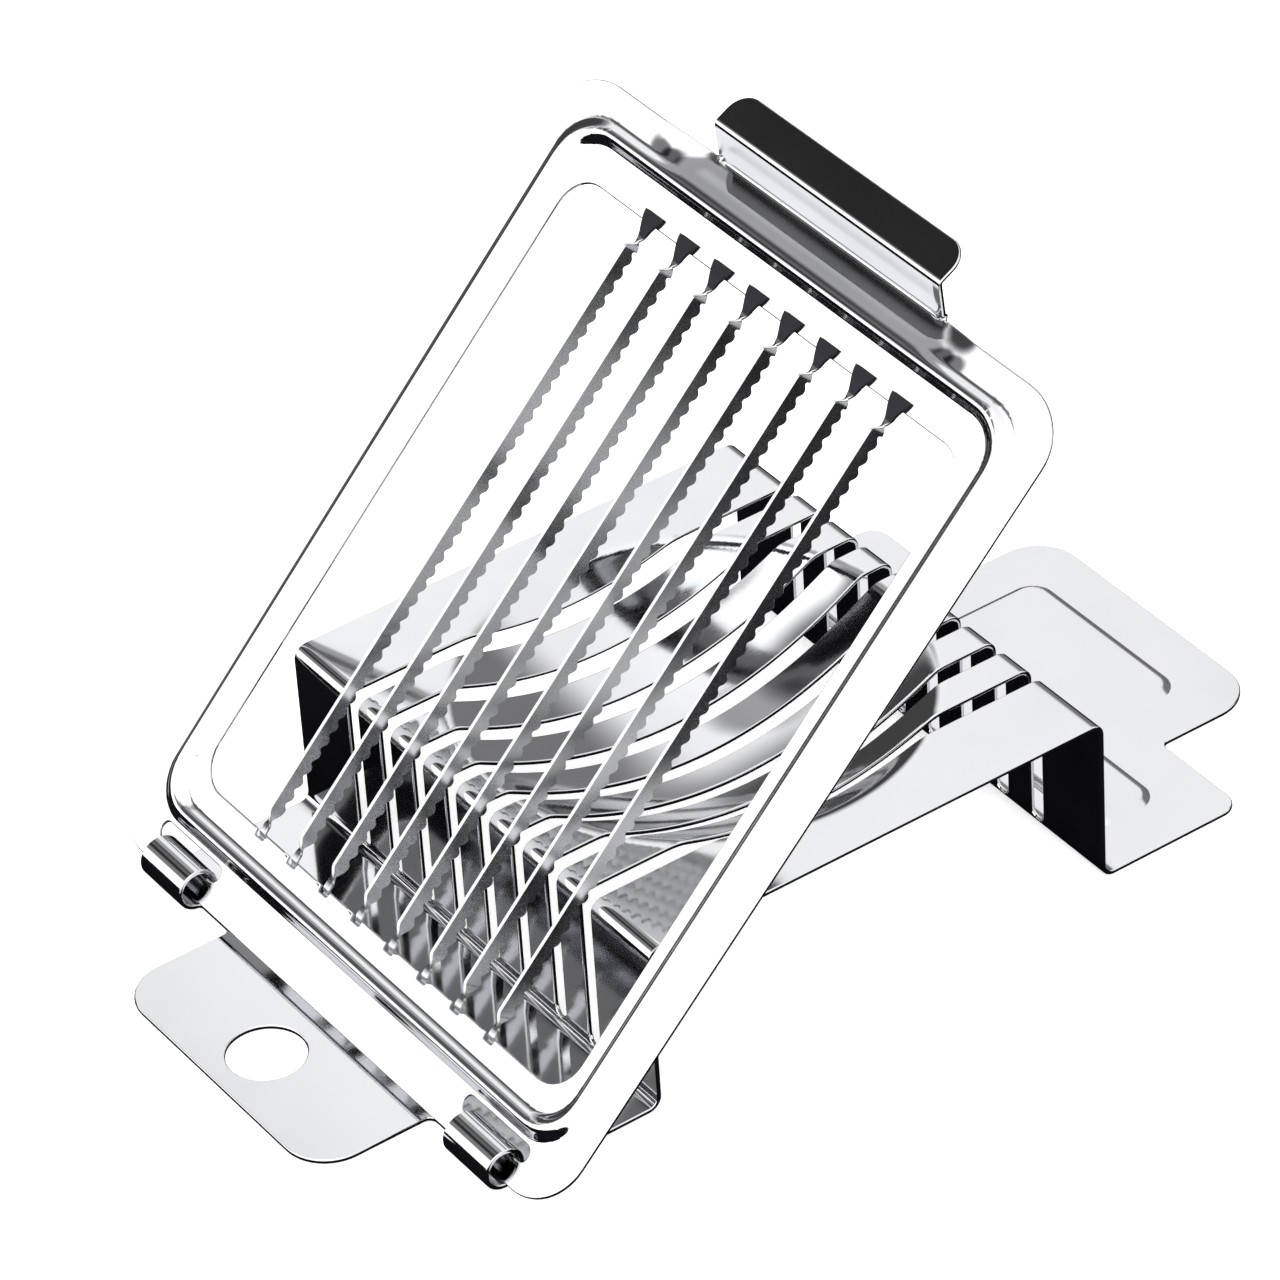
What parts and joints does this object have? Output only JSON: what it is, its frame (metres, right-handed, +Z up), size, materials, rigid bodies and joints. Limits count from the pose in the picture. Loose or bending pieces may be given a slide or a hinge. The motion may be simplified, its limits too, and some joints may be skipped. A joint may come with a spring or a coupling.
{
  "type": "egg slicer",
  "caption": "Sheet-steel egg slicer: a slotted base with an oval seat, and a hinged frame of serrated blades with a finger handle.",
  "frame": {"origin": "centre of the bounding box in X and Y, on the plane that the feet stand on", "axes": "+Z up; +Y from the front tab with the hanging hole towards the rear foot; +X to the right seen from the front, along the hinge"},
  "size_m": [0.0932, 0.137, 0.084],
  "materials": {
    "polished_stainless": "mirror-polished stainless steel",
    "frame_stainless": "mirror-polished stainless steel",
    "satin_blade_stainless": "satin stainless steel"
  },
  "bodies": {
    "stand": {"base": "polished_stainless"},
    "cutter": {"frame": "frame_stainless", "blade_1": "satin_blade_stainless", "blade_2": "satin_blade_stainless", "blade_3": "satin_blade_stainless", "blade_4": "satin_blade_stainless", "blade_5": "satin_blade_stainless", "blade_6": "satin_blade_stainless", "blade_7": "satin_blade_stainless", "blade_8": "satin_blade_stainless"}
  },
  "joints": [
    {"name": "frame_hinge", "type": "hinge", "parent": "stand", "child": "cutter", "pos_m": [0, -0.0526, 0.0027], "axis": [1, 0, 0], "range_deg": [-44.6, 125]}
  ]
}
